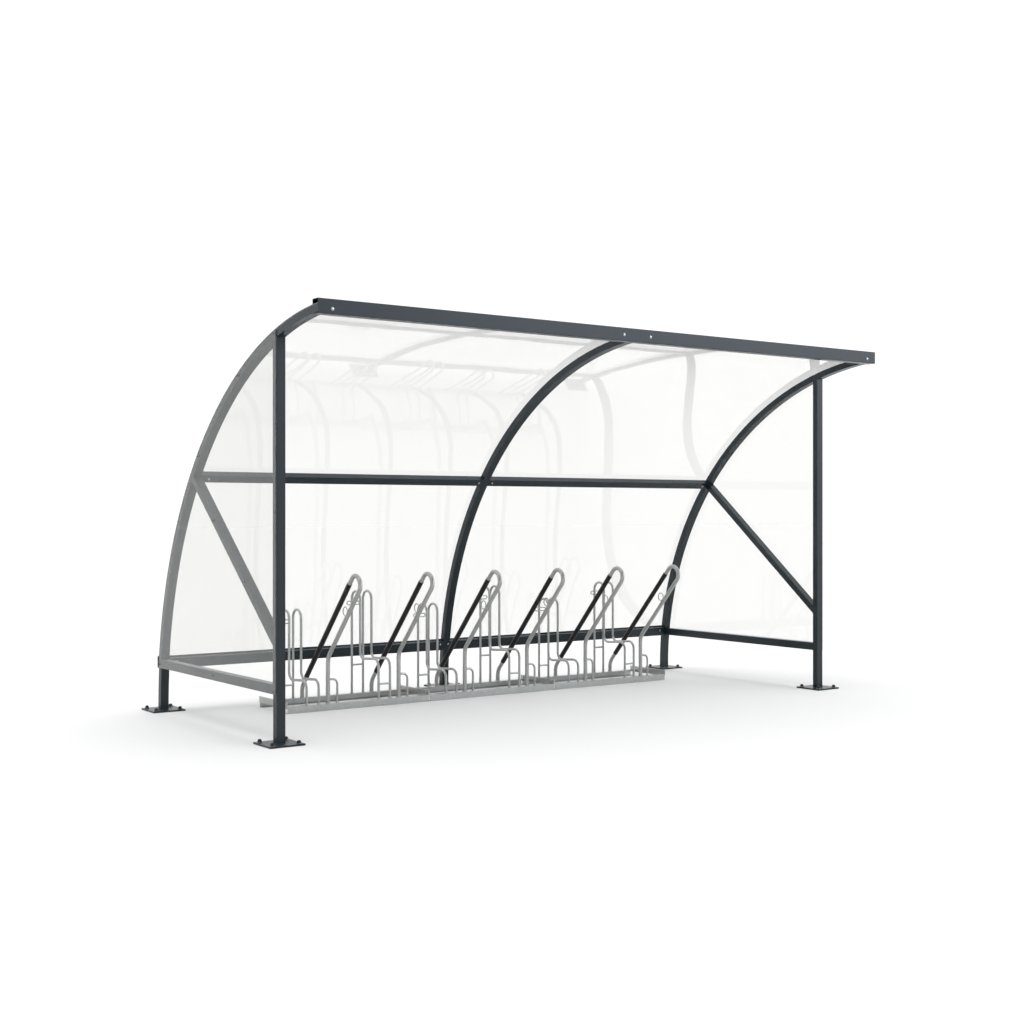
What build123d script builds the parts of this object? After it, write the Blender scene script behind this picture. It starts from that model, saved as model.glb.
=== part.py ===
"""Open bicycle shelter: rolled steel arches, clear roof and side sheets, and a six-place rack.

Millimetres, +Z up, +X to the right, the open front faces -Y.
The origin lies on the ground, at the middle of the area that the shelter covers.
"""
from build123d import *
from math import asin, atan2, cos, degrees, hypot, radians, sin, sqrt
import os

# Frame of the shelter
SHELTER_WIDTH = 4100.0
EAVES_HEIGHT = 2256.0
OVERALL_DEPTH = 2148.0
BEAM_TO_POST = 476.0
TUBE_WIDTH = 50.0
TUBE_DEPTH = 40.0
TUBE_WALL = 3.0
ARCH_RADIUS = 2205.0
ARCH_BELOW_EAVES = 27.25

# Base plates
PLATE_SIDE = 200.0
PLATE_THICKNESS = 10.0
PLATE_HOLE_SPACING = 150.0
PLATE_HOLE_DIAMETER = 14.0

# Front beam, a folded channel
BEAM_HEIGHT = 76.0
BEAM_FLANGE = 60.0
BEAM_SHEET = 3.0

# Rails and braces
MID_RAIL_ANGLE = 39.25
MID_RAIL_DROP = 2.0
BOTTOM_RAIL_HEIGHT = 60.0
BOTTOM_RAIL_CENTRE = 288.0
SIDE_RAIL_HEIGHT = 50.0
SIDE_RAIL_CENTRE = 286.0
BRACE_FOOT_HEIGHT = 538.0

# Clear sheets and their clamp
ROOF_SHEET = 5.0
SIDE_SHEET = 5.0
SHEET_JOINT = 6.0
SHEET_EDGE_INSET = 3.0
CLAMP_THICKNESS = 4.0
CLAMP_RISE = 12.0
SHEET_TO_BEAM = 1.0
SEAT_GAP = 0.3

# Rack on the floor inside
RACK_MODULES = 3
MODULE_LENGTH = 1000.0
RACK_SHIFT = 10.0
RACK_FROM_REAR_LEG = 230.0
RACK_DEPTH = 381.0
ANGLE_LEG = 40.0
ANGLE_WALL = 4.0
END_BAR_HEIGHT = 40.0
END_BAR_THICKNESS = 5.0
END_BAR_LIFT = 28.0
PLACE_PITCH = 500.0
FIRST_HOLDER = 180.0
HOOP_FROM_HOLDER = 104.0

# Wheel holders
HOLDER_BAR = 16.0
HOLDER_SPACING = 82.0
HOLDER_TOP = 606.0
HIGH_LIFT = 100.0
HOLDER_LOOP = 109.0
HOLDER_VALLEY = 172.0
HOLDER_CREST = 189.0
HOLDER_VALLEY_BEND = 45.0
HOLDER_CREST_BEND = 50.0
HOLDER_TIE_BAR = 12.0
HOLDER_TIE_HEIGHT = 123.0
FRONT_TIE_HEIGHT = 133.0

# Lean hoops
HOOP_TUBE = 27.0
HOOP_WALL = 2.6
HOOP_TOP = 842.0
HOOP_LEAN = 42.5
HOOP_FRONT_KNEE = 318.0
HOOP_REAR_KNEE = 111.0
HOOP_KNEE_BEND = 90.0
SLEEVE_DIAMETER = 32.0
SLEEVE_LENGTH = 815.0
SLEEVE_START = 90.0
HOOK_BAR = 14.0
HOOK_REACH = 64.0
HOOK_HEIGHT = 186.0

# Working allowances
BEND_STRAIGHT = 1.0
TRIM_SPARE = 100.0

# Places worked out from the sizes above
beam_face = -OVERALL_DEPTH / 2
post_face = beam_face + BEAM_TO_POST - TUBE_DEPTH / 2
leg_back = OVERALL_DEPTH / 2 - PLATE_SIDE / 2 + TUBE_DEPTH / 2
arch_centre_y = leg_back - ARCH_RADIUS
arch_rise = sqrt(ARCH_RADIUS ** 2 - (beam_face - arch_centre_y) ** 2)
arch_centre_height = EAVES_HEIGHT - ARCH_BELOW_EAVES - arch_rise
arch_inside = ARCH_RADIUS - TUBE_DEPTH
end_frame = SHELTER_WIDTH / 2 - TUBE_WIDTH / 2
beam_inside = beam_face + BEAM_SHEET
rack_back = leg_back - RACK_FROM_REAR_LEG
rack_front = rack_back - RACK_DEPTH
rack_left = RACK_SHIFT - RACK_MODULES * MODULE_LENGTH / 2
rack_top = ANGLE_LEG
front_foot = rack_front + ANGLE_LEG / 2
rear_foot = rack_back - ANGLE_LEG / 2
sheet_inside = ARCH_RADIUS + SEAT_GAP
sheet_outside = sheet_inside + ROOF_SHEET


def height_on_arc(radius, y):
    """Height of a circle of this radius about the arch axis, at a given y."""
    return arch_centre_height + sqrt(radius ** 2 - (y - arch_centre_y) ** 2)


def angle_at_height(radius, height):
    """Angle up from the level at which that circle passes a given height."""
    return degrees(asin((height - arch_centre_height) / radius))


def on_arch(radius, angle):
    """Point (y, z) at a radius and an angle about the arch axis."""
    return (
        arch_centre_y + radius * cos(radians(angle)),
        arch_centre_height + radius * sin(radians(angle)),
    )


def finish(piece, name):
    """Name a finished piece and write its STEP file."""
    piece.part.label = name
    export_step(piece.part, f"parts/{name}.step")


def arc_band(inner, outer, x_low, x_high):
    """Ring about the arch axis from the beam back, and straight down below the axis."""
    with BuildPart() as band:
        with BuildSketch(Plane.YZ.offset(x_low)):
            with Locations((arch_centre_y, arch_centre_height)):
                Circle(outer)
                Circle(inner, mode=Mode.SUBTRACT)
            with Locations((beam_face, arch_centre_height)):
                Rectangle(
                    2 * outer, 2 * outer, align=(Align.MIN, Align.MIN), mode=Mode.INTERSECT
                )
            with Locations((arch_centre_y + inner, arch_centre_height)):
                Rectangle(outer - inner, outer, align=(Align.MIN, Align.MAX))
        extrude(amount=x_high - x_low)
    return band.part


def block(x_low, x_high, y_low, y_high, z_low, z_high):
    """Plain block between two corners, used to trim pieces."""
    return Pos(
        (x_low + x_high) / 2, (y_low + y_high) / 2, (z_low + z_high) / 2
    ) * Box(x_high - x_low, y_high - y_low, z_high - z_low)


def inside_arch(radius):
    """Long cylinder about the arch axis, for trimming what ends against the arch."""
    return Pos(0, arch_centre_y, arch_centre_height) * Rot(0, 90, 0) * Cylinder(
        radius, 2 * SHELTER_WIDTH
    )


def make_arch(name, x):
    """Rolled box tube from its base plate up to the back of the front beam."""
    kept = block(
        x - TUBE_WIDTH, x + TUBE_WIDTH,
        beam_inside, leg_back + TRIM_SPARE,
        PLATE_THICKNESS, EAVES_HEIGHT,
    )
    half = TUBE_WIDTH / 2
    outer = arc_band(arch_inside, ARCH_RADIUS, x - half, x + half)
    hollow = arc_band(
        arch_inside + TUBE_WALL, ARCH_RADIUS - TUBE_WALL, x - half + TUBE_WALL, x + half - TUBE_WALL
    )
    with BuildPart() as arch:
        add(outer)
        add(hollow, mode=Mode.SUBTRACT)
        add(kept, mode=Mode.INTERSECT)
    finish(arch, name)


def make_base_plate(name, x, y):
    """Square foot plate with four anchor holes."""
    with BuildPart() as plate:
        with BuildSketch(Plane.XY):
            with Locations((x, y)):
                Rectangle(PLATE_SIDE, PLATE_SIDE)
            with Locations((x, y)):
                with GridLocations(PLATE_HOLE_SPACING, PLATE_HOLE_SPACING, 2, 2):
                    Circle(PLATE_HOLE_DIAMETER / 2, mode=Mode.SUBTRACT)
        extrude(amount=PLATE_THICKNESS)
    finish(plate, name)


def tube_section(width, depth, wall):
    """Hollow rectangle for a rolled or straight box tube."""
    Rectangle(width, depth)
    Rectangle(width - 2 * wall, depth - 2 * wall, mode=Mode.SUBTRACT)


def make_front_post(name, x):
    """Upright box tube whose head is cut to the underside of the arch."""
    under_arch = inside_arch(arch_inside)
    with BuildPart() as post:
        with BuildSketch(Plane.XY.offset(PLATE_THICKNESS)):
            with Locations((x, post_face + TUBE_DEPTH / 2)):
                tube_section(TUBE_WIDTH, TUBE_DEPTH, TUBE_WALL)
        extrude(amount=EAVES_HEIGHT)
        add(under_arch, mode=Mode.INTERSECT)
    finish(post, name)


def make_front_beam():
    """Folded channel along the eaves, open to the back, with a lip onto the roof sheet."""
    half = SHELTER_WIDTH / 2
    bottom = EAVES_HEIGHT - BEAM_HEIGHT
    lip_back = beam_face + BEAM_FLANGE
    lip_foot = height_on_arc(sheet_outside, lip_back - BEAM_SHEET) + SEAT_GAP
    with BuildPart() as beam:
        with BuildSketch(Plane.YZ.offset(-half)):
            with BuildLine():
                Polyline(
                    (lip_back, lip_foot),
                    (lip_back, EAVES_HEIGHT),
                    (beam_face, EAVES_HEIGHT),
                    (beam_face, bottom),
                    (lip_back, bottom),
                    (lip_back, bottom + BEAM_SHEET),
                    (beam_inside, bottom + BEAM_SHEET),
                    (beam_inside, EAVES_HEIGHT - BEAM_SHEET),
                    (lip_back - BEAM_SHEET, EAVES_HEIGHT - BEAM_SHEET),
                    (lip_back - BEAM_SHEET, lip_foot),
                    close=True,
                )
            make_face()
        extrude(amount=SHELTER_WIDTH)
        folds = beam.edges().filter_by(Axis.X).group_by(Axis.Y)[0]
        fillet(folds, radius=BEAM_SHEET)
    finish(beam, "front_beam")


def arch_frame(x, radius, angle):
    """Plane whose normal is +X, with its x along the radius and its y along the arch."""
    y, z = on_arch(radius, angle)
    return Plane(
        origin=(x, y, z),
        x_dir=(0, cos(radians(angle)), sin(radians(angle))),
        z_dir=(1, 0, 0),
    )


def make_bay_rail(name, x_low, x_high, angle, height, drop):
    """Box tube along a bay, turned with the arch, its outer face a little under the sheet."""
    middle = ARCH_RADIUS - drop - TUBE_DEPTH / 2
    with BuildPart() as rail:
        with BuildSketch(arch_frame(x_low, middle, angle)):
            tube_section(TUBE_DEPTH, height, TUBE_WALL)
        extrude(amount=x_high - x_low)
    finish(rail, name)


def make_side_rail(name, x):
    """Box tube low in an end frame, from the front post back to the arch."""
    start = post_face + TUBE_DEPTH
    under_arch = inside_arch(arch_inside)
    with BuildPart() as rail:
        with BuildSketch(Plane.XZ.offset(-start)):
            with Locations((x, SIDE_RAIL_CENTRE)):
                tube_section(TUBE_WIDTH, SIDE_RAIL_HEIGHT, TUBE_WALL)
        extrude(amount=-(leg_back - start))
        add(under_arch, mode=Mode.INTERSECT)
    finish(rail, name)


def make_brace(name, x):
    """Sloping box tube in an end frame, from the front post up to the arch."""
    foot_y = post_face + TUBE_DEPTH
    head_y, head_z = on_arch(arch_inside, MID_RAIL_ANGLE)
    rise = atan2(head_z - BRACE_FOOT_HEIGHT, head_y - foot_y)
    along = (0, cos(rise), sin(rise))
    spare = TUBE_DEPTH
    start = (x, foot_y - spare * along[1], BRACE_FOOT_HEIGHT - spare * along[2])
    length = hypot(head_z - BRACE_FOOT_HEIGHT, head_y - foot_y) + 2 * spare
    behind_post = block(
        x - TUBE_WIDTH, x + TUBE_WIDTH, foot_y, leg_back, 0, EAVES_HEIGHT
    )
    under_arch = inside_arch(arch_inside)
    with BuildPart() as brace:
        with BuildSketch(Plane(origin=start, x_dir=(1, 0, 0), z_dir=along)):
            tube_section(TUBE_WIDTH, TUBE_DEPTH, TUBE_WALL)
        extrude(amount=length)
        add(under_arch, mode=Mode.INTERSECT)
        add(behind_post, mode=Mode.INTERSECT)
    finish(brace, name)


def make_roof_sheet(name, x_low, x_high):
    """Clear sheet bent over the arches from the front beam down to the rear rail."""
    low_edge = BOTTOM_RAIL_CENTRE - BOTTOM_RAIL_HEIGHT / 2
    high_edge = EAVES_HEIGHT - BEAM_SHEET
    kept = block(
        x_low, x_high, beam_inside + SHEET_TO_BEAM, leg_back + TRIM_SPARE, low_edge, high_edge
    )
    bent = arc_band(sheet_inside, sheet_outside, x_low, x_high)
    with BuildPart() as sheet:
        add(bent)
        add(kept, mode=Mode.INTERSECT)
    finish(sheet, name)


def make_rear_clamp():
    """Bent strip that holds the lower edge of the roof sheets to the rear rails."""
    half = SHELTER_WIDTH / 2
    low_edge = BOTTOM_RAIL_CENTRE - BOTTOM_RAIL_HEIGHT / 2
    high_edge = BOTTOM_RAIL_CENTRE + BOTTOM_RAIL_HEIGHT / 2 + CLAMP_RISE
    inner = sheet_outside + SEAT_GAP
    kept = block(-half, half, 0, leg_back + TRIM_SPARE, low_edge, high_edge)
    bent = arc_band(inner, inner + CLAMP_THICKNESS, -half, half)
    with BuildPart() as clamp:
        add(bent)
        add(kept, mode=Mode.INTERSECT)
    finish(clamp, "rear_clamp_strip")


def make_side_panel(name, side):
    """Clear sheet on the outside of an end frame, cut to the arch."""
    inner_face = side * (SHELTER_WIDTH / 2 + SEAT_GAP)
    low_edge = SIDE_RAIL_CENTRE - SIDE_RAIL_HEIGHT / 2
    front_edge = post_face + SHEET_EDGE_INSET
    with BuildPart() as panel:
        with BuildSketch(Plane.YZ.offset(inner_face)):
            with Locations((arch_centre_y, arch_centre_height)):
                Circle(ARCH_RADIUS - SHEET_EDGE_INSET)
            with Locations((front_edge, low_edge)):
                Rectangle(
                    ARCH_RADIUS, ARCH_RADIUS, align=(Align.MIN, Align.MIN), mode=Mode.INTERSECT
                )
        extrude(amount=side * SIDE_SHEET)
    finish(panel, name)


def round_bar(x, points, radii, diameter, bore=0.0):
    """Bent round bar or tube in the plane at x, through (y, z) points."""
    with BuildPart() as bar:
        with BuildLine(Plane.YZ.offset(x)) as route:
            FilletPolyline(*points, radius=radii)
        with BuildSketch(Plane(origin=route.line @ 0, z_dir=route.line % 0)):
            Circle(diameter / 2)
            if bore:
                Circle(bore / 2, mode=Mode.SUBTRACT)
        sweep()
    return bar.part


def make_rack_base(name, x_low):
    """Two angle rails on the floor, joined by a bar on edge at each end."""
    x_high = x_low + MODULE_LENGTH
    inner_low = x_low + END_BAR_THICKNESS
    inner_high = x_high - END_BAR_THICKNESS
    with BuildPart() as base:
        with BuildSketch(Plane.YZ.offset(inner_low)):
            with Locations((rack_front, 0)):
                Rectangle(ANGLE_WALL, ANGLE_LEG, align=(Align.MIN, Align.MIN))
            with Locations((rack_front, rack_top)):
                Rectangle(ANGLE_LEG, ANGLE_WALL, align=(Align.MIN, Align.MAX))
            with Locations((rack_back, 0)):
                Rectangle(ANGLE_WALL, ANGLE_LEG, align=(Align.MAX, Align.MIN))
            with Locations((rack_back, rack_top)):
                Rectangle(ANGLE_LEG, ANGLE_WALL, align=(Align.MAX, Align.MAX))
        extrude(amount=inner_high - inner_low)
        with BuildSketch(Plane.YZ.offset(x_low), Plane.YZ.offset(inner_high)):
            with Locations((rack_front, END_BAR_LIFT)):
                Rectangle(RACK_DEPTH, END_BAR_HEIGHT, align=(Align.MIN, Align.MIN))
        extrude(amount=END_BAR_THICKNESS)
    finish(base, name)


def make_wheel_holder(name, x, lift):
    """Pair of bent round bars that take a wheel between them, tied across low down."""
    top = HOLDER_TOP + lift - HOLDER_BAR / 2
    loop_front = rear_foot - HOLDER_LOOP
    route = [
        (rear_foot, rack_top),
        (rear_foot, top),
        (loop_front, top),
        (loop_front, HOLDER_VALLEY + lift),
        (front_foot, HOLDER_CREST + lift),
        (front_foot, rack_top),
    ]
    loop_bend = HOLDER_LOOP / 2 - BEND_STRAIGHT
    bends = [loop_bend, loop_bend, HOLDER_VALLEY_BEND, HOLDER_CREST_BEND]
    left = round_bar(x - HOLDER_SPACING / 2, route, bends, HOLDER_BAR)
    right = round_bar(x + HOLDER_SPACING / 2, route, bends, HOLDER_BAR)
    ties = [(rear_foot, HOLDER_TIE_HEIGHT + lift)]
    if lift:
        ties.append((front_foot, FRONT_TIE_HEIGHT))
    with BuildPart() as holder:
        add(left)
        add(right)
        with BuildSketch(Plane.YZ.offset(x - HOLDER_SPACING / 2)):
            with Locations(*ties):
                Circle(HOLDER_TIE_BAR / 2)
        extrude(amount=HOLDER_SPACING)
    finish(holder, name)


def hoop_route():
    """Corners of the hoop and the point where the sleeve starts, all as (y, z)."""
    lean = radians(HOOP_LEAN)
    forward = (-sin(lean), cos(lean))
    across = (cos(lean), sin(lean))
    lower = (front_foot, HOOP_FRONT_KNEE)
    upper = (rear_foot, HOOP_REAR_KNEE)
    gap = (upper[0] - lower[0]) * across[0] + (upper[1] - lower[1]) * across[1]
    bend = gap / 2
    crown_z = HOOP_TOP - bend - HOOP_TUBE / 2
    middle = ((lower[0] + upper[0]) / 2, (lower[1] + upper[1]) / 2)
    run = (crown_z - middle[1]) / forward[1]
    crown = (middle[0] + run * forward[0], crown_z)
    top_front = (
        crown[0] + bend * forward[0] - bend * across[0],
        crown[1] + bend * forward[1] - bend * across[1],
    )
    top_back = (
        crown[0] + bend * forward[0] + bend * across[0],
        crown[1] + bend * forward[1] + bend * across[1],
    )
    points = [(rear_foot, rack_top), upper, top_back, top_front, lower, (front_foot, rack_top)]
    return points, bend, forward


def make_lean_hoop(name, sleeve_name, x):
    """Leaning tube hoop beside a wheel, with a small hook at its front foot and a sleeve."""
    points, bend, forward = hoop_route()
    top_bend = bend - BEND_STRAIGHT
    bends = [HOOP_KNEE_BEND, top_bend, top_bend, HOOP_KNEE_BEND]
    tube = round_bar(x, points, bends, HOOP_TUBE, HOOP_TUBE - 2 * HOOP_WALL)
    with BuildPart() as hook:
        with BuildLine(Plane.XZ.offset(-front_foot)) as route:
            FilletPolyline(
                (x + (HOOP_TUBE - HOOP_WALL) / 2, HOOK_HEIGHT),
                (x + HOOK_REACH, HOOK_HEIGHT),
                (x + HOOK_REACH, rack_top),
                radius=[HOOK_REACH / 2],
            )
        with BuildSketch(Plane(origin=route.line @ 0, z_dir=route.line % 0)):
            Circle(HOOK_BAR / 2)
        sweep()
    with BuildPart() as hoop:
        add(tube)
        add(hook.part)
    finish(hoop, name)

    knee_y, knee_z = points[1]
    foot = (x, knee_y + SLEEVE_START * forward[0], knee_z + SLEEVE_START * forward[1])
    with BuildPart() as sleeve:
        with BuildSketch(Plane(origin=foot, z_dir=(0, forward[0], forward[1]))):
            Circle(SLEEVE_DIAMETER / 2)
            Circle(HOOP_TUBE / 2 + SEAT_GAP, mode=Mode.SUBTRACT)
        extrude(amount=SLEEVE_LENGTH)
    finish(sleeve, sleeve_name)


os.makedirs("parts", exist_ok=True)

arch_lines = {"left": -end_frame, "middle": 0.0, "right": end_frame}
rear_foot_y = leg_back - TUBE_DEPTH / 2
front_foot_y = post_face + TUBE_DEPTH / 2
for side_name, line in arch_lines.items():
    make_arch(f"arch_{side_name}", line)
    make_base_plate(f"base_plate_rear_{side_name}", line, rear_foot_y)

for side_name, line in (("left", -end_frame), ("right", end_frame)):
    make_front_post(f"front_post_{side_name}", line)
    make_base_plate(f"base_plate_front_{side_name}", line, front_foot_y)
    make_side_rail(f"side_rail_{side_name}", line)
    make_brace(f"brace_{side_name}", line)
    make_side_panel(f"side_panel_{side_name}", 1 if line > 0 else -1)

make_front_beam()
make_rear_clamp()

half_tube = TUBE_WIDTH / 2
bottom_rail_angle = angle_at_height(ARCH_RADIUS - TUBE_DEPTH / 2, BOTTOM_RAIL_CENTRE)
bays = (
    ("left", -end_frame + half_tube, -half_tube),
    ("right", half_tube, end_frame - half_tube),
)
for bay_name, bay_low, bay_high in bays:
    make_bay_rail(
        f"mid_rail_{bay_name}", bay_low, bay_high, MID_RAIL_ANGLE, TUBE_WIDTH, MID_RAIL_DROP
    )
    make_bay_rail(
        f"bottom_rail_{bay_name}", bay_low, bay_high, bottom_rail_angle, BOTTOM_RAIL_HEIGHT,
        SEAT_GAP,
    )
make_roof_sheet("roof_sheet_left", -SHELTER_WIDTH / 2, -SHEET_JOINT / 2)
make_roof_sheet("roof_sheet_right", SHEET_JOINT / 2, SHELTER_WIDTH / 2)

for module in range(RACK_MODULES):
    module_left = rack_left + module * MODULE_LENGTH
    make_rack_base(f"rack_base_{module + 1}", module_left)

places = int(RACK_MODULES * MODULE_LENGTH // PLACE_PITCH)
for place in range(places):
    holder_x = rack_left + FIRST_HOLDER + place * PLACE_PITCH
    make_wheel_holder(f"wheel_holder_{place + 1}", holder_x, HIGH_LIFT * (place % 2))
    make_lean_hoop(
        f"lean_hoop_{place + 1}", f"hoop_sleeve_{place + 1}", holder_x + HOOP_FROM_HOLDER
    )
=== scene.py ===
"""Looks of an open bicycle shelter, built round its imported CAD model.

Laid out as an add-on and run as a script: each operator makes one kind of piece
or gives one kind of part its finish, in metres, in the frame of the CAD model.
"""
from math import atan2, cos, pi, radians, sin

import bpy
from bpy.props import FloatProperty, FloatVectorProperty, PointerProperty
from mathutils import Matrix, Vector


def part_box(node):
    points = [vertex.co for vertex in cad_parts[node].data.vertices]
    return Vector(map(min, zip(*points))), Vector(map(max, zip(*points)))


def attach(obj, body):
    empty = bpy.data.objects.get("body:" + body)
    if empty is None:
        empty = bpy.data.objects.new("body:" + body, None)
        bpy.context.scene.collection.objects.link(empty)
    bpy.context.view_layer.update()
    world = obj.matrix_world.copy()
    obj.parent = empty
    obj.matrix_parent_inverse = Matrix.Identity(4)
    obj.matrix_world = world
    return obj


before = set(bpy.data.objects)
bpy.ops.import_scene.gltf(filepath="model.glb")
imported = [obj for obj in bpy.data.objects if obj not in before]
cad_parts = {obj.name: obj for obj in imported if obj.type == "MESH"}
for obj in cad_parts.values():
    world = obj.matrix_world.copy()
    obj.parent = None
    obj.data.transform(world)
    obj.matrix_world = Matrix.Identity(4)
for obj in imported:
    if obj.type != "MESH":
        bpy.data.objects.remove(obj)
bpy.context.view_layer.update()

bl_info = {
    "name": "Bicycle shelter looks",
    "version": (1, 0, 0),
    "blender": (4, 5, 0),
    "location": "View3D > Sidebar > Shelter",
    "description": "Finishes, fixings and studio for an arched bicycle shelter",
    "category": "Object",
}

BODY = "root"
FRAME_PARTS = (
    "arch_", "front_post_", "base_plate_", "front_beam", "mid_rail_", "bottom_rail_",
    "side_rail_", "brace_", "rear_clamp_strip",
)
RACK_PARTS = ("rack_base_", "wheel_holder_", "lean_hoop_")
ARCH_AXIS = Vector((0, -1.211, 0.028))
MID_RAIL_ANGLE = radians(39.25)
HOOP_LEAN = radians(42.5)
HOOP_KNEE = 0.318          # height of the front bend of a hoop
HOOP_TUBE = 0.0135         # radii of the rack's round bars and wires
HOLDER_BAR = 0.008
HOOK_BAR = 0.007
LINK_WIRE = 0.0036
EYE_WIRE = 0.0031
WASHER_THICKNESS = 0.0016
SMALL_HEX = 0.01           # widths across flats
RACK_HEX = 0.013
MID_RAIL_FACE = 2.163      # radii about the arch axis
BOTTOM_RAIL_FACE = 2.1647
SCREW_LINE = 2.185
ROOF_FACE = 2.2103
BOTTOM_BOLT_HEIGHT = 0.2975
RACK_BOLT_HEIGHT = 0.054
CAMERA_PLACE = (-5.3168, -7.2791)
CAMERA_TURN = radians(-35.542)
BEHIND_CAMERA = (-0.58, -0.81, 0)
TO_SOFTBOX = (0.67, -0.742, 0)


# Colours and nodes

def paint(code, alpha=1.0):
    """Linear colour from an sRGB hex value."""
    parts = [int(code[i:i + 2], 16) / 255 for i in (1, 3, 5)]
    linear = [c / 12.92 if c <= 0.04045 else ((c + 0.055) / 1.055) ** 2.4 for c in parts]
    return (*linear, alpha)


def node(tree, kind, inputs=None, **settings):
    """Add a node with its settings, and set or link its inputs."""
    made = tree.nodes.new(kind)
    for name, value in settings.items():
        setattr(made, name, value)
    for key, value in (inputs or {}).items():
        if isinstance(value, bpy.types.NodeSocket):
            tree.links.new(value, made.inputs[key])
        else:
            made.inputs[key].default_value = value
    return made


def new_material(name):
    """Empty node material with its output, and a source of Object coordinates."""
    material = bpy.data.materials.new(name)
    material.use_nodes = True
    tree = material.node_tree
    tree.nodes.clear()
    output = node(tree, "ShaderNodeOutputMaterial")
    place = node(tree, "ShaderNodeTexCoord").outputs["Object"]
    return material, tree, output, place


def dress(prefixes, material):
    """Give a finish to every CAD node whose name starts in one of these ways."""
    for name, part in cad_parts.items():
        if name.startswith(prefixes):
            for slot in part.material_slots:
                slot.material = material


# Materials

def powder_coated_steel(settings):
    """Steel sprayed with polyester powder and baked: satin, with a fine orange peel."""
    material, tree, output, place = new_material("powder_coated_steel")
    dark = settings.frame_colour
    # The film is a little thicker in places, which shows as soft patches some 250 mm across.
    patches = node(tree, "ShaderNodeTexNoise", {"Vector": place, "Scale": 4.0, "Detail": 2.0})
    colour = node(
        tree, "ShaderNodeMix",
        {"Factor": patches.outputs["Fac"], 6: [0.86 * c for c in dark[:3]] + [1],
         7: [1.14 * c for c in dark[:3]] + [1]},
        data_type="RGBA",
    )
    # Real orange peel has waves of about 1 mm. They are drawn 3 mm long, so that they show.
    peel = node(tree, "ShaderNodeTexNoise", {"Vector": place, "Scale": 330.0, "Detail": 1.0})
    sheen = node(
        tree, "ShaderNodeMapRange",
        {"Value": peel.outputs["Fac"], "To Min": 0.27, "To Max": 0.36},
    )
    bump = node(
        tree, "ShaderNodeBump",
        {"Height": peel.outputs["Fac"], "Strength": 0.12, "Distance": 0.0004},
    )
    coat = node(
        tree, "ShaderNodeBsdfPrincipled",
        {"Base Color": colour.outputs[2], "Roughness": sheen.outputs["Result"],
         "IOR": 1.5, "Specular IOR Level": 0.34, "Normal": bump.outputs["Normal"]},
    )
    tree.links.new(coat.outputs["BSDF"], output.inputs["Surface"])
    return material


def galvanised_steel(settings):
    """Steel dipped in molten zinc: dull grey metal with a faint spangle of crystals."""
    material, tree, output, place = new_material("hot_dip_galvanised_steel")
    grey = settings.zinc_colour
    # Zinc crystals are 5 to 15 mm across.
    crystals = node(
        tree, "ShaderNodeTexVoronoi", {"Vector": place, "Scale": 90.0, "Randomness": 1.0}
    )
    shade = node(tree, "ShaderNodeSeparateColor", {"Color": crystals.outputs["Color"]})
    bloom = node(tree, "ShaderNodeTexNoise", {"Vector": place, "Scale": 18.0, "Detail": 3.0})
    blend = node(
        tree, "ShaderNodeMath", {0: shade.outputs["Red"], 1: bloom.outputs["Fac"]},
        operation="MULTIPLY",
    )
    colour = node(
        tree, "ShaderNodeMix",
        {"Factor": blend.outputs[0], 6: [0.92 * c for c in grey[:3]] + [1],
         7: [min(1.0, 1.16 * c) for c in grey[:3]] + [1]},
        data_type="RGBA",
    )
    rough = node(
        tree, "ShaderNodeMapRange",
        {"Value": shade.outputs["Green"], "To Min": 0.28, "To Max": 0.36},
    )
    # Runs and grains of the dip, about 2 mm across.
    grain = node(tree, "ShaderNodeTexNoise", {"Vector": place, "Scale": 500.0, "Detail": 2.0})
    bump = node(
        tree, "ShaderNodeBump",
        {"Height": grain.outputs["Fac"], "Strength": 0.05, "Distance": 0.0004},
    )
    zinc = node(
        tree, "ShaderNodeBsdfPrincipled",
        {"Base Color": colour.outputs[2], "Metallic": 1.0,
         "Roughness": rough.outputs["Result"], "Normal": bump.outputs["Normal"]},
    )
    tree.links.new(zinc.outputs["BSDF"], output.inputs["Surface"])
    return material


def zinc_plated_steel():
    """Cold-formed bolts with a bright electroplated zinc skin."""
    material, tree, output, place = new_material("zinc_plated_steel")
    # Marks of the plating barrel, about 1.5 mm across.
    wear = node(tree, "ShaderNodeTexNoise", {"Vector": place, "Scale": 700.0, "Detail": 2.0})
    rough = node(
        tree, "ShaderNodeMapRange",
        {"Value": wear.outputs["Fac"], "To Min": 0.22, "To Max": 0.32},
    )
    skin = node(
        tree, "ShaderNodeBsdfPrincipled",
        {"Base Color": paint("#b4b7b8"), "Metallic": 1.0, "Roughness": rough.outputs["Result"]},
    )
    tree.links.new(skin.outputs["BSDF"], output.inputs["Surface"])
    return material


def blackened_stainless_steel():
    """Small screws with a chemically blackened skin."""
    material, tree, output, place = new_material("blackened_stainless_steel")
    # The skin takes unevenly, in spots of about 2 mm.
    wear = node(tree, "ShaderNodeTexNoise", {"Vector": place, "Scale": 500.0, "Detail": 2.0})
    rough = node(
        tree, "ShaderNodeMapRange",
        {"Value": wear.outputs["Fac"], "To Min": 0.28, "To Max": 0.45},
    )
    skin = node(
        tree, "ShaderNodeBsdfPrincipled",
        {"Base Color": paint("#3c3d3e"), "Metallic": 1.0, "Roughness": rough.outputs["Result"]},
    )
    tree.links.new(skin.outputs["BSDF"], output.inputs["Surface"])
    return material


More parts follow.
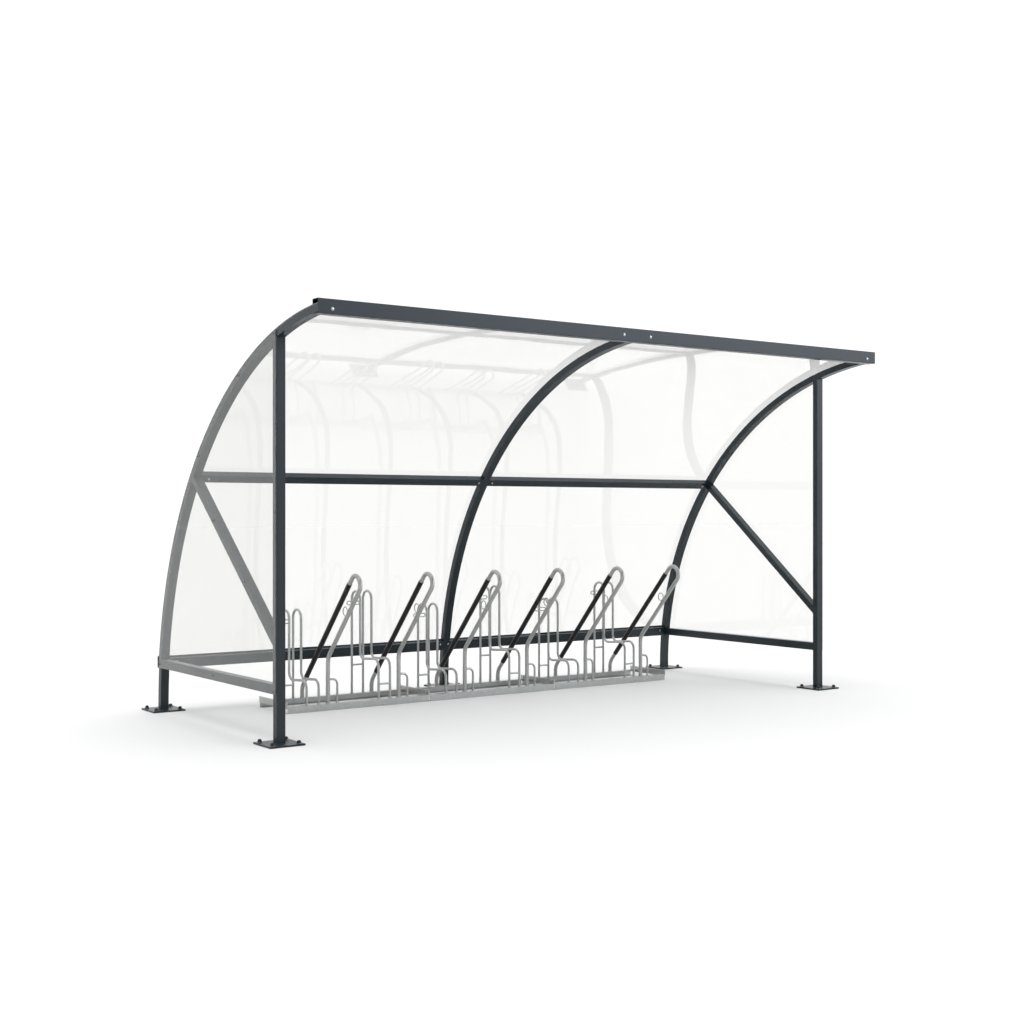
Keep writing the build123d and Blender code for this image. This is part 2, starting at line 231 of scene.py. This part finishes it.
def black_polyethylene(name, low, high):
    """Moulded or shrunk black polyethylene: near black, waxy, with a fine skin grain."""
    material, tree, output, place = new_material(name)
    # The skin's grain is some 0.3 mm in life and is drawn at 1.5 mm.
    grain = node(tree, "ShaderNodeTexNoise", {"Vector": place, "Scale": 660.0, "Detail": 2.0})
    rough = node(
        tree, "ShaderNodeMapRange",
        {"Value": grain.outputs["Fac"], "To Min": low, "To Max": high},
    )
    bump = node(
        tree, "ShaderNodeBump",
        {"Height": grain.outputs["Fac"], "Strength": 0.1, "Distance": 0.0003},
    )
    skin = node(
        tree, "ShaderNodeBsdfPrincipled",
        {"Base Color": paint("#090909"), "Roughness": rough.outputs["Result"], "IOR": 1.51,
         "Specular IOR Level": 0.35, "Normal": bump.outputs["Normal"]},
    )
    tree.links.new(skin.outputs["BSDF"], output.inputs["Surface"])
    return material


def clear_acrylic(name, tint, shade, ior, edge_along_x):
    """Extruded clear acrylic sheet: glossy, hardly tinted, with pale sawn edges."""
    material, tree, output, place = new_material(name)
    # Extruded sheet is very slightly wavy, over some 300 mm.
    wave = node(tree, "ShaderNodeTexNoise", {"Vector": place, "Scale": 3.0, "Detail": 1.0})
    bump = node(
        tree, "ShaderNodeBump",
        {"Height": wave.outputs["Fac"], "Strength": 0.25, "Distance": 0.002},
    )
    sheet = node(
        tree, "ShaderNodeBsdfPrincipled",
        {"Base Color": tint, "Roughness": 0.02, "IOR": ior,
         "Transmission Weight": 1.0, "Normal": bump.outputs["Normal"]},
    )
    edge = node(
        tree, "ShaderNodeBsdfPrincipled",
        {"Base Color": paint("#8f9997"), "Roughness": 0.35, "IOR": 1.49},
    )
    facing = node(
        tree, "ShaderNodeSeparateXYZ",
        {"Vector": node(tree, "ShaderNodeNewGeometry").outputs["Normal"]},
    )
    across = node(tree, "ShaderNodeMath", {0: facing.outputs["X"]}, operation="ABSOLUTE")
    is_edge = node(
        tree, "ShaderNodeMath", {0: across.outputs[0], 1: 0.7},
        operation="GREATER_THAN" if edge_along_x else "LESS_THAN",
    )
    pale = node(tree, "ShaderNodeMath", {0: is_edge.outputs[0], 1: 0.3}, operation="MULTIPLY")
    solid = node(
        tree, "ShaderNodeMixShader",
        {0: pale.outputs[0], 1: sheet.outputs["BSDF"], 2: edge.outputs["BSDF"]},
    )
    # Light comes through the sheet and leaves a soft, pale shadow.
    clear = node(tree, "ShaderNodeBsdfTransparent", {"Color": shade})
    light = node(tree, "ShaderNodeLightPath")
    lit = node(
        tree, "ShaderNodeMath",
        {0: light.outputs["Is Shadow Ray"], 1: light.outputs["Is Diffuse Ray"]},
        operation="MAXIMUM",
    )
    surface = node(
        tree, "ShaderNodeMixShader", {0: lit.outputs[0], 1: solid.outputs[0], 2: clear.outputs[0]}
    )
    tree.links.new(surface.outputs[0], output.inputs["Surface"])
    return material


def studio_floor(settings):
    """Matt painted studio floor."""
    material, tree, output, _ = new_material("matt_studio_floor")
    matt = node(
        tree, "ShaderNodeBsdfDiffuse", {"Color": settings.floor_colour, "Roughness": 0.0}
    )
    tree.links.new(matt.outputs[0], output.inputs["Surface"])
    return material


def shared(name, make, *args):
    """The material of this name, made the first time it is asked for."""
    return bpy.data.materials.get(name) or make(*args)


def cap_plastic():
    """Moulded black polyethylene, shared by all the caps."""
    name = "moulded_polyethylene_cap"
    return shared(name, black_polyethylene, name, 0.32, 0.46)


# Modelling helpers

def only(*pieces):
    """Select these objects alone, the last one active."""
    bpy.ops.object.select_all(action="DESELECT")
    for piece in pieces:
        piece.select_set(True)
        bpy.context.view_layer.objects.active = piece


def raised(sides, steps):
    """A disc carried up through (height, radius) steps, as a turned or hexagonal piece."""
    bpy.ops.object.select_all(action="DESELECT")
    height, radius = steps[0]
    bpy.ops.mesh.primitive_circle_add(
        vertices=sides, radius=radius, fill_type="NGON", location=(0, 0, height)
    )
    piece = bpy.context.object
    bpy.ops.object.transform_apply(location=True, rotation=True, scale=True)
    bpy.ops.object.mode_set(mode="EDIT")
    bpy.ops.mesh.select_mode(type="FACE")
    bpy.ops.mesh.select_all(action="SELECT")
    for next_height, next_radius in steps[1:]:
        bpy.ops.mesh.extrude_region_move(
            TRANSFORM_OT_translate={"value": (0, 0, next_height - height)}
        )
        grow = next_radius / radius
        bpy.ops.transform.resize(value=(grow, grow, 1), center_override=(0, 0, 0))
        height, radius = next_height, next_radius
    bpy.ops.mesh.select_all(action="SELECT")
    bpy.ops.mesh.normals_make_consistent(inside=False)
    bpy.ops.object.mode_set(mode="OBJECT")
    return piece


def ease_edges(piece, width, segments=2):
    """Bevel the sharp edges and shade the piece smooth."""
    only(piece)
    bevel = piece.modifiers.new("edges", "BEVEL")
    bevel.width = width
    bevel.segments = segments
    bevel.limit_method = "ANGLE"
    bevel.angle_limit = radians(35)
    bpy.ops.object.modifier_apply(modifier=bevel.name)
    bpy.ops.object.shade_smooth_by_angle(angle=radians(40))


def set_out(name, placed):
    """Copy each fixing of these (model, place) pairs, and join the copies into one piece."""
    copies = []
    for model, place in placed:
        copy = model.copy()
        copy.data = model.data.copy()
        copy.data.transform(place)
        bpy.context.collection.objects.link(copy)
        copies.append(copy)
    only(*copies)
    if len(copies) > 1:
        bpy.ops.object.join()
    piece = bpy.context.view_layer.objects.active
    piece.name = piece.data.name = name
    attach(piece, BODY)


def drop(*models):
    """Remove the models that copies were taken from."""
    for model in models:
        bpy.data.objects.remove(model)


def stand(point, direction, turn=0.0):
    """Matrix that takes a fixing from the origin to a point, with its +Z along a direction."""
    lean = Vector(direction).to_track_quat("Z", "Y").to_matrix().to_4x4()
    return Matrix.Translation(Vector(point)) @ lean @ Matrix.Rotation(turn, 4, "Z")


def hex_bolt(across, washer):
    """Hexagon bolt head on a flat washer, standing on z = 0."""
    disc = raised(32, [(0, washer / 2), (WASHER_THICKNESS, washer / 2)])
    ease_edges(disc, 0.0004)
    radius = across / 2 / cos(radians(30))
    head = raised(
        6,
        [(WASHER_THICKNESS, radius), (WASHER_THICKNESS + across * 0.36, radius),
         (WASHER_THICKNESS + across * 0.42, radius * 0.86)],
    )
    ease_edges(head, 0.0005)
    only(disc, head)
    bpy.ops.object.join()
    bolt = bpy.context.view_layer.objects.active
    bolt.data.materials.append(shared("zinc_plated_steel", zinc_plated_steel))
    return bolt


def button_screw(head):
    """Low button-head screw on a sealing washer, standing on z = 0."""
    washer = raised(24, [(0, head * 0.64), (0.0014, head * 0.64), (0.002, head * 0.56)])
    ease_edges(washer, 0.0003)
    washer.data.materials.append(shared("zinc_plated_steel", zinc_plated_steel))
    radius = head / 2
    button = raised(
        24,
        [(0.002, radius * 0.94), (0.0028, radius * 0.94), (0.0042, radius * 0.74),
         (0.005, radius * 0.42), (0.0044, radius * 0.36), (0.0038, radius * 0.34)],
    )
    ease_edges(button, 0.0002)
    button.data.materials.append(shared("blackened_stainless_steel", blackened_stainless_steel))
    only(washer, button)
    bpy.ops.object.join()
    return bpy.context.view_layer.objects.active


def wire_loop(width, length, wire, material):
    """Closed loop of round wire in the XY plane, as long along Y as it is asked to be."""
    bpy.ops.object.select_all(action="DESELECT")
    bpy.ops.mesh.primitive_circle_add(
        vertices=10, radius=wire, location=(width / 2 - wire, 0, 0), rotation=(pi / 2, 0, 0)
    )
    loop = bpy.context.object
    bpy.ops.object.transform_apply(location=True, rotation=True, scale=True)
    bpy.ops.object.mode_set(mode="EDIT")
    bpy.ops.mesh.select_all(action="SELECT")
    bpy.ops.mesh.spin(steps=36, angle=2 * pi, center=(0, 0, 0), axis=(0, 0, 1))
    bpy.ops.mesh.select_all(action="SELECT")
    bpy.ops.mesh.remove_doubles(threshold=0.00001)
    bpy.ops.mesh.normals_make_consistent(inside=False)
    bpy.ops.object.mode_set(mode="OBJECT")
    for side in (-1, 1):
        bpy.ops.object.mode_set(mode="EDIT")
        bpy.ops.mesh.select_mode(type="VERT")
        bpy.ops.mesh.select_all(action="DESELECT")
        bpy.ops.object.mode_set(mode="OBJECT")
        for vertex in loop.data.vertices:
            vertex.select = vertex.co.y * side > 0.0001
        bpy.ops.object.mode_set(mode="EDIT")
        bpy.ops.transform.translate(value=(0, side * (length - width) / 2, 0))
        bpy.ops.object.mode_set(mode="OBJECT")
    bpy.ops.object.shade_smooth()
    loop.data.materials.append(material)
    return loop


def on_arch(radius, angle, x):
    """Point on a circle about the arch axis, at an angle up from the level."""
    return ARCH_AXIS + Vector((x, radius * cos(angle), radius * sin(angle)))


# Sizes and colours a user may change

class ShelterFinish(bpy.types.PropertyGroup):
    """Colours of the finishes."""

    frame_colour: FloatVectorProperty(
        name="Frame", description="Powder coat on the frame", subtype="COLOR", size=4,
        min=0, max=1, default=paint("#1b252a"),
    )
    zinc_colour: FloatVectorProperty(
        name="Zinc", description="Galvanised rack", subtype="COLOR", size=4,
        min=0, max=1, default=paint("#adaeac"),
    )
    roof_tint: FloatVectorProperty(
        name="Roof tint", description="Tint of the bent roof sheets", subtype="COLOR", size=4,
        min=0, max=1, default=paint("#f5f5f4"),
    )
    side_tint: FloatVectorProperty(
        name="Side tint", description="Tint of the flat side panels", subtype="COLOR", size=4,
        min=0, max=1, default=paint("#f4f4f3"),
    )
    roof_shade: FloatVectorProperty(
        name="Roof shade", description="Light that each face of a roof sheet lets through",
        subtype="COLOR", size=4, min=0, max=1, default=paint("#ececec"),
    )
    side_shade: FloatVectorProperty(
        name="Side shade", description="Light that each face of a side panel lets through",
        subtype="COLOR", size=4, min=0, max=1, default=paint("#f2f2f2"),
    )
    floor_colour: FloatVectorProperty(
        name="Floor", description="Studio floor", subtype="COLOR", size=4,
        min=0, max=1, default=paint("#cbcbcb"),
    )


class ShelterFixings(bpy.types.PropertyGroup):
    """Sizes of the anchors, bolts, screws, links and eyes."""

    anchor_spacing: FloatProperty(
        name="Anchor spacing", description="Between the anchors of a foot plate",
        default=0.15, unit="LENGTH",
    )
    anchor_cap: FloatProperty(
        name="Anchor cap", description="Diameter of an anchor's cover cap",
        default=0.026, unit="LENGTH",
    )
    beam_washer: FloatProperty(
        name="Beam washer", description="Diameter of the washers on the front beam",
        default=0.018, unit="LENGTH",
    )
    rail_washer: FloatProperty(
        name="Rail washer", description="Diameter of the washers on the rails",
        default=0.015, unit="LENGTH",
    )
    rack_washer: FloatProperty(
        name="Rack washer", description="Diameter of the washers on the rack",
        default=0.02, unit="LENGTH",
    )
    screw_head: FloatProperty(
        name="Screw head", description="Diameter of the sheet screws",
        default=0.013, unit="LENGTH",
    )
    link_length: FloatProperty(
        name="Link length", description="Length of the wire links on the wheel holders",
        default=0.096, unit="LENGTH",
    )
    link_height: FloatProperty(
        name="Link height", description="Height of the wire links on the wheel holders",
        default=0.03, unit="LENGTH",
    )
    eye: FloatProperty(
        name="Eye", description="Outside diameter of the wire eyes on the hoops",
        default=0.058, unit="LENGTH",
    )


class ShelterStudio(bpy.types.PropertyGroup):
    """Camera and light."""

    lens: FloatProperty(name="Lens", description="Focal length in mm", default=49.89)
    camera_height: FloatProperty(
        name="Camera height", description="Height of the lens above the floor",
        default=1.2051, unit="LENGTH",
    )
    horizon_light: FloatProperty(
        name="Horizon light", description="Brightness of the studio's walls", default=1.04
    )
    backdrop_light: FloatProperty(
        name="Backdrop light", description="Brightness of the backdrop, as bright as the floor",
        default=1.1,
    )
    room_light: FloatProperty(
        name="Room light", description="Share of the light that is left behind the camera",
        default=0.35,
    )
    overhead_light: FloatProperty(
        name="Overhead light", description="Brightness straight above", default=4.0
    )
    front_light: FloatProperty(
        name="Front light", description="Brightness of the softbox at the front right",
        default=5.4,
    )


# Operators: finishes

class SHELTER_OT_coat_frame(bpy.types.Operator):
    """Powder coat the steel frame"""

    bl_idname = "shelter.coat_frame"
    bl_label = "Coat the frame"

    def execute(self, context):
        finish = context.scene.shelter_finish
        dress(FRAME_PARTS, shared("powder_coated_steel", powder_coated_steel, finish))
        return {"FINISHED"}


class SHELTER_OT_galvanise_rack(bpy.types.Operator):
    """Galvanise the rack, its wheel holders and its hoops"""

    bl_idname = "shelter.galvanise_rack"
    bl_label = "Galvanise the rack"

    def execute(self, context):
        finish = context.scene.shelter_finish
        dress(RACK_PARTS, shared("hot_dip_galvanised_steel", galvanised_steel, finish))
        return {"FINISHED"}


class SHELTER_OT_shrink_sleeves(bpy.types.Operator):
    """Finish the black sleeves on the hoops"""

    bl_idname = "shelter.shrink_sleeves"
    bl_label = "Shrink the sleeves"

    def execute(self, context):
        sleeve = black_polyethylene("shrunk_polyethylene_sleeve", 0.3, 0.42)
        dress(("hoop_sleeve_",), sleeve)
        return {"FINISHED"}


class SHELTER_OT_clear_sheets(bpy.types.Operator):
    """Make the roof and side sheets clear"""

    bl_idname = "shelter.clear_sheets"
    bl_label = "Clear the sheets"

    def execute(self, context):
        finish = context.scene.shelter_finish
        roof = clear_acrylic(
            "bent_clear_acrylic_sheet", finish.roof_tint, finish.roof_shade, 1.49, True
        )
        dress(("roof_sheet_",), roof)
        # The side panels mirror less than plain acrylic does, so their IOR is brought down.
        side = clear_acrylic(
            "flat_clear_acrylic_sheet", finish.side_tint, finish.side_shade, 1.3, False
        )
        dress(("side_panel_",), side)
        return {"FINISHED"}


# Operators: fixings

class SHELTER_OT_anchor_bolts(bpy.types.Operator):
    """Put washers and black cover caps on the anchors of the foot plates"""

    bl_idname = "shelter.anchor_bolts"
    bl_label = "Anchor bolts"

    def execute(self, context):
        fixings = context.scene.shelter_fixings
        cap_radius = fixings.anchor_cap / 2
        half = fixings.anchor_spacing / 2
        washer = raised(32, [(0, cap_radius * 1.1), (0.0025, cap_radius * 1.1)])
        ease_edges(washer, 0.0005)
        washer.data.materials.append(shared("zinc_plated_steel", zinc_plated_steel))
        cap = raised(
            24,
            [(0.0025, cap_radius), (0.005, cap_radius), (0.0058, cap_radius * 0.86),
             (0.011, cap_radius * 0.8), (0.0145, cap_radius * 0.66), (0.0165, cap_radius * 0.42),
             (0.0172, cap_radius * 0.16)],
        )
        ease_edges(cap, 0.0006)
        cap.data.materials.append(cap_plastic())
        only(washer, cap)
        bpy.ops.object.join()
        anchor = bpy.context.view_layer.objects.active
        for plate in sorted(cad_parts):
            if plate.startswith("base_plate_"):
                low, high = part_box(plate)
                middle = (low + high) / 2
                placed = [
                    (anchor, stand((middle.x + half * i, middle.y + half * j, high.z),
                                   (0, 0, 1), i + 2 * j))
                    for i in (-1, 1) for j in (-1, 1)
                ]
                set_out(plate.replace("base_plate", "anchors"), placed)
        drop(anchor)
        return {"FINISHED"}


class SHELTER_OT_beam_bolts(bpy.types.Operator):
    """Bolt the front beam to the arches"""

    bl_idname = "shelter.beam_bolts"
    bl_label = "Beam bolts"

    def execute(self, context):
        low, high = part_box("front_beam")
        bolt = hex_bolt(SMALL_HEX, context.scene.shelter_fixings.beam_washer)
        placed = [
            (bolt, stand((x, low.y, high.z - down), (0, -1, 0), 9 * x))
            for x, down in ((-1.972, 0.049), (-0.099, 0.04), (0.099, 0.04), (1.972, 0.049))
        ]
        set_out("beam_bolts", placed)
        drop(bolt)
        return {"FINISHED"}


class SHELTER_OT_rail_bolts(bpy.types.Operator):
    """Bolt the mid rails and bottom rails to the arches"""

    bl_idname = "shelter.rail_bolts"
    bl_label = "Rail bolts"

    def execute(self, context):
        bolt = hex_bolt(SMALL_HEX, context.scene.shelter_fixings.rail_washer)
        placed = []
        inward = (0, -cos(MID_RAIL_ANGLE), -sin(MID_RAIL_ANGLE))
        for x in (-1.95, -0.053, 0.053, 1.95):
            placed.append(
                (bolt, stand(on_arch(MID_RAIL_FACE, MID_RAIL_ANGLE, x), inward, 7 * x))
            )
        angle = atan2(BOTTOM_BOLT_HEIGHT - ARCH_AXIS.z, BOTTOM_RAIL_FACE)
        inward = (0, -cos(angle), -sin(angle))
        for x in (-1.95, -0.053, 0.011, 1.95):
            placed.append((bolt, stand(on_arch(BOTTOM_RAIL_FACE, angle, x), inward, 5 * x)))
        set_out("rail_bolts", placed)
        drop(bolt)
        return {"FINISHED"}


class SHELTER_OT_sheet_screws(bpy.types.Operator):
    """Screw the side panels and the roof sheets to the frame"""

    bl_idname = "shelter.sheet_screws"
    bl_label = "Sheet screws"

    def execute(self, context):
        screw = button_screw(context.scene.shelter_fixings.screw_head)
        spots = [on_arch(SCREW_LINE, radians(a), 0) for a in (6.7, 24.9, 43.2, 61.3, 73.7)]
        spots += [Vector((0, -0.598, z)) for z in (0.275, 0.745, 1.204, 1.66)]
        spots += [Vector((0, -0.228, 0.828)), Vector((0, 0.169, 1.156)), Vector((0, 0.177, 0.286))]
        for side, panel in ((-1, "side_panel_left"), (1, "side_panel_right")):
            low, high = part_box(panel)
            face = low.x if side < 0 else high.x
            placed = [
                (screw, stand((face, spot.y, spot.z), (side, 0, 0), 1.7 * i))
                for i, spot in enumerate(spots)
            ]
            set_out(panel.replace("panel", "screws"), placed)
        placed = []
        for x in (-2.025, -0.0145, 0.0145, 2.025):
            for step in range(7):
                angle = radians(10 + 12.5 * step)
                out = (0, cos(angle), sin(angle))
                placed.append((screw, stand(on_arch(ROOF_FACE, angle, x), out, step)))
        set_out("roof_screws", placed)
        drop(screw)
        return {"FINISHED"}


class SHELTER_OT_links_and_eyes(bpy.types.Operator):
    """Weld the long wire links to the wheel holders and the round eyes to the hoops"""

    bl_idname = "shelter.links_and_eyes"
    bl_label = "Links and eyes"

    def execute(self, context):
        fixings = context.scene.shelter_fixings
        zinc = shared("hot_dip_galvanised_steel", galvanised_steel, context.scene.shelter_finish)
        link = wire_loop(fixings.link_height, fixings.link_length, LINK_WIRE, zinc)
        eye = wire_loop(fixings.eye, fixings.eye, EYE_WIRE, zinc)
        # The link lies across the front of the holder's left rear leg, the eye in the hoop's
        # plane, against the back of its front leg.
        across = Matrix.Rotation(pi / 2, 4, "X") @ Matrix.Rotation(pi / 2, 4, "Z")
        upright = Matrix.Rotation(pi / 2, 4, "Y")
        leg = Vector((0, -sin(HOOP_LEAN), cos(HOOP_LEAN)))
        behind = Vector((0, cos(HOOP_LEAN), sin(HOOP_LEAN)))
        knee = Vector((0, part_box("rack_base_1")[0].y + 0.02, HOOP_KNEE))
        aside = knee + 0.364 * leg + (HOOP_TUBE + fixings.eye / 2 - 0.003) * behind
        for place in range(1, 7):
            low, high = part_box(f"wheel_holder_{place}")
            spot = (low.x + HOLDER_BAR + 0.004, high.y - 2 * HOLDER_BAR - 0.002, high.z - 0.084)
            placed = [(link, Matrix.Translation(spot) @ across)]
            set_out(f"holder_link_{place}", placed)
            low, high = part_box(f"hoop_sleeve_{place}")
            spot = aside + Vector(((low.x + high.x) / 2, 0, 0))
            placed = [(eye, Matrix.Translation(spot) @ upright)]
            set_out(f"hoop_eye_{place}", placed)
        drop(link, eye)
        return {"FINISHED"}


class SHELTER_OT_weld_beads(bpy.types.Operator):
    """Run a fillet weld round each foot of the wheel holders and hoops"""

    bl_idname = "shelter.weld_beads"
    bl_label = "Weld beads"

    def execute(self, context):
        zinc = shared("hot_dip_galvanised_steel", galvanised_steel, context.scene.shelter_finish)
        beads = {}
        for radius in (HOLDER_BAR, HOOP_TUBE, HOOK_BAR):
            bead = raised(
                24, [(0, radius + 0.0042), (0.0018, radius + 0.0034), (0.0046, radius + 0.0002)]
            )
            ease_edges(bead, 0.0008)
            bead.data.materials.append(zinc)
            beads[radius] = bead
        for place in range(1, 7):
            low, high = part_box(f"wheel_holder_{place}")
            front, back = low.y + HOLDER_BAR, high.y - HOLDER_BAR
            feet = [
                (HOLDER_BAR, x, y)
                for x in (low.x + HOLDER_BAR, high.x - HOLDER_BAR) for y in (front, back)
            ]
            hoop_low, hoop_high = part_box(f"lean_hoop_{place}")
            feet += [(HOOP_TUBE, hoop_low.x + HOOP_TUBE, y) for y in (front, back)]
            feet.append((HOOK_BAR, hoop_high.x - HOOK_BAR, front))
            placed = [
                (beads[radius], stand((x, y, low.z), (0, 0, 1), 3 * x)) for radius, x, y in feet
            ]
            set_out(f"foot_welds_{place}", placed)
        drop(*beads.values())
        return {"FINISHED"}


class SHELTER_OT_rack_bolts(bpy.types.Operator):
    """Bolt the rack modules together"""

    bl_idname = "shelter.rack_bolts"
    bl_label = "Rack bolts"

    def execute(self, context):
        bolt = hex_bolt(RACK_HEX, context.scene.shelter_fixings.rack_washer)
        low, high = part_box("rack_base_1")
        placed = []
        for module in (2, 3):
            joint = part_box(f"rack_base_{module}")[0].x
            for y in (low.y + 0.03, high.y - 0.03):
                left, right = ((joint + side * 0.005, y, RACK_BOLT_HEIGHT) for side in (-1, 1))
                placed.append((bolt, stand(left, (-1, 0, 0), y)))
                placed.append((bolt, stand(right, (1, 0, 0), 2 * y)))
        set_out("rack_bolts", placed)
        drop(bolt)
        return {"FINISHED"}


class SHELTER_OT_clamp_caps(bpy.types.Operator):
    """Close the ends of the rear clamp strip"""

    bl_idname = "shelter.clamp_caps"
    bl_label = "Clamp caps"

    def execute(self, context):
        low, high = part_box("rear_clamp_strip")
        for side, name in ((-1, "clamp_cap_left"), (1, "clamp_cap_right")):
            end = low.x if side < 0 else high.x
            bpy.ops.object.select_all(action="DESELECT")
            bpy.ops.mesh.primitive_cube_add(
                size=1, location=(end + side * 0.003, high.y - 0.004, (low.z + high.z) / 2)
            )
            cap = bpy.context.object
            cap.scale = (0.006, 0.014, high.z - low.z)
            bpy.ops.object.transform_apply(location=True, rotation=True, scale=True)
            ease_edges(cap, 0.0028, 3)
            cap.data.materials.append(cap_plastic())
            cap.name = cap.data.name = name
            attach(cap, BODY)
        return {"FINISHED"}


# Operator: stage

class SHELTER_OT_studio(bpy.types.Operator):
    """Lay the floor, set the light and place the camera"""

    bl_idname = "shelter.studio"
    bl_label = "Studio"

    def execute(self, context):
        studio = context.scene.shelter_studio
        bpy.ops.object.select_all(action="DESELECT")
        bpy.ops.mesh.primitive_plane_add(size=200)
        floor = context.object
        floor.name = "studio_floor"
        floor.data.materials.append(studio_floor(context.scene.shelter_finish))

        world = bpy.data.worlds.new("studio")
        world.use_nodes = True
        tree = world.node_tree
        tree.nodes.clear()
        towards = node(tree, "ShaderNodeTexCoord").outputs["Generated"]
        up = node(tree, "ShaderNodeSeparateXYZ", {"Vector": towards})
        overhead = node(
            tree, "ShaderNodeMapRange",
            {"Value": up.outputs["Z"], "From Min": 0.75, "From Max": 0.88,
             "To Min": studio.horizon_light, "To Max": studio.overhead_light},
            interpolation_type="SMOOTHSTEP",
        )
        # The studio is darker behind the camera, which draws the round bars' outlines.
        back = node(
            tree, "ShaderNodeVectorMath", {0: towards, 1: BEHIND_CAMERA},
            operation="DOT_PRODUCT",
        )
        dim = node(
            tree, "ShaderNodeMapRange",
            {"Value": back.outputs["Value"], "From Min": 0.1, "From Max": 0.75,
             "To Min": 1.0, "To Max": studio.room_light},
            interpolation_type="SMOOTHSTEP",
        )
        level = node(
            tree, "ShaderNodeMath", {0: overhead.outputs["Result"], 1: dim.outputs["Result"]},
            operation="MULTIPLY",
        )
        room = node(
            tree, "ShaderNodeBackground", {"Color": (1, 1, 1, 1), "Strength": level.outputs[0]}
        )
        # The softbox stands to the front right, a little way up from the floor.
        aim = node(
            tree, "ShaderNodeVectorMath", {0: towards, 1: TO_SOFTBOX},
            operation="DOT_PRODUCT",
        )
        beside = node(
            tree, "ShaderNodeMapRange",
            {"Value": aim.outputs["Value"], "From Min": 0.915, "From Max": 0.985},
            interpolation_type="SMOOTHSTEP",
        )
        height = node(
            tree, "ShaderNodeMapRange",
            {"Value": up.outputs["Z"], "From Min": 0.05, "From Max": 0.13,
             "To Min": 0.0, "To Max": studio.front_light},
            interpolation_type="SMOOTHSTEP",
        )
        strength = node(
            tree, "ShaderNodeMath",
            {0: beside.outputs["Result"], 1: height.outputs["Result"]}, operation="MULTIPLY",
        )
        softbox = node(
            tree, "ShaderNodeBackground",
            {"Color": paint("#e6f1ff"), "Strength": strength.outputs[0]},
        )
        total = node(tree, "ShaderNodeAddShader", {0: room.outputs[0], 1: softbox.outputs[0]})
        # What is seen straight on or through a sheet is the plain backdrop.
        plain = node(
            tree, "ShaderNodeBackground",
            {"Color": (1, 1, 1, 1), "Strength": studio.backdrop_light},
        )
        ray = node(tree, "ShaderNodeLightPath")
        seen = node(
            tree, "ShaderNodeMath",
            {0: ray.outputs["Is Camera Ray"], 1: ray.outputs["Is Transmission Ray"]},
            operation="MAXIMUM",
        )
        studio_light = node(
            tree, "ShaderNodeMixShader",
            {0: seen.outputs[0], 1: total.outputs[0], 2: plain.outputs[0]},
        )
        node(tree, "ShaderNodeOutputWorld", {"Surface": studio_light.outputs[0]})
        context.scene.world = world

        lens = bpy.data.cameras.new("camera")
        lens.sensor_width = 36.0
        lens.lens = studio.lens
        lens.clip_end = 500
        camera = bpy.data.objects.new("camera", lens)
        camera.location = (*CAMERA_PLACE, studio.camera_height)
        camera.rotation_euler = (pi / 2, 0, CAMERA_TURN)
        context.scene.collection.objects.link(camera)
        context.scene.camera = camera
        context.scene.view_settings.view_transform = "Standard"
        return {"FINISHED"}


class SHELTER_PT_sidebar(bpy.types.Panel):
    """Lists the shelter's pieces and finishes"""

    bl_label = "Bicycle shelter"
    bl_idname = "SHELTER_PT_sidebar"
    bl_space_type = "VIEW_3D"
    bl_region_type = "UI"
    bl_category = "Shelter"

    def draw(self, context):
        for operator in OPERATORS:
            self.layout.operator(operator.bl_idname)
        for group in GROUPS:
            settings = getattr(context.scene, group)
            box = self.layout.box()
            for name in settings.__annotations__:
                box.prop(settings, name)


GROUPS = {
    "shelter_finish": ShelterFinish,
    "shelter_fixings": ShelterFixings,
    "shelter_studio": ShelterStudio,
}
OPERATORS = (
    SHELTER_OT_coat_frame,
    SHELTER_OT_galvanise_rack,
    SHELTER_OT_shrink_sleeves,
    SHELTER_OT_clear_sheets,
    SHELTER_OT_anchor_bolts,
    SHELTER_OT_beam_bolts,
    SHELTER_OT_rail_bolts,
    SHELTER_OT_sheet_screws,
    SHELTER_OT_links_and_eyes,
    SHELTER_OT_weld_beads,
    SHELTER_OT_rack_bolts,
    SHELTER_OT_clamp_caps,
    SHELTER_OT_studio,
)


def register():
    """Register the classes and hang the settings on the scene."""
    for name, group in GROUPS.items():
        bpy.utils.register_class(group)
        setattr(bpy.types.Scene, name, PointerProperty(type=group))
    for item in (*OPERATORS, SHELTER_PT_sidebar):
        bpy.utils.register_class(item)


def unregister():
    """Take back what register did."""
    for item in (SHELTER_PT_sidebar, *reversed(OPERATORS)):
        bpy.utils.unregister_class(item)
    for name, group in GROUPS.items():
        delattr(bpy.types.Scene, name)
        bpy.utils.unregister_class(group)


def main():
    """Make every piece in order."""
    register()
    bpy.ops.shelter.coat_frame()
    bpy.ops.shelter.galvanise_rack()
    bpy.ops.shelter.shrink_sleeves()
    bpy.ops.shelter.clear_sheets()
    bpy.ops.shelter.anchor_bolts()
    bpy.ops.shelter.beam_bolts()
    bpy.ops.shelter.rail_bolts()
    bpy.ops.shelter.sheet_screws()
    bpy.ops.shelter.links_and_eyes()
    bpy.ops.shelter.weld_beads()
    bpy.ops.shelter.rack_bolts()
    bpy.ops.shelter.clamp_caps()
    bpy.ops.shelter.studio()


if __name__ == "__main__":
    main()
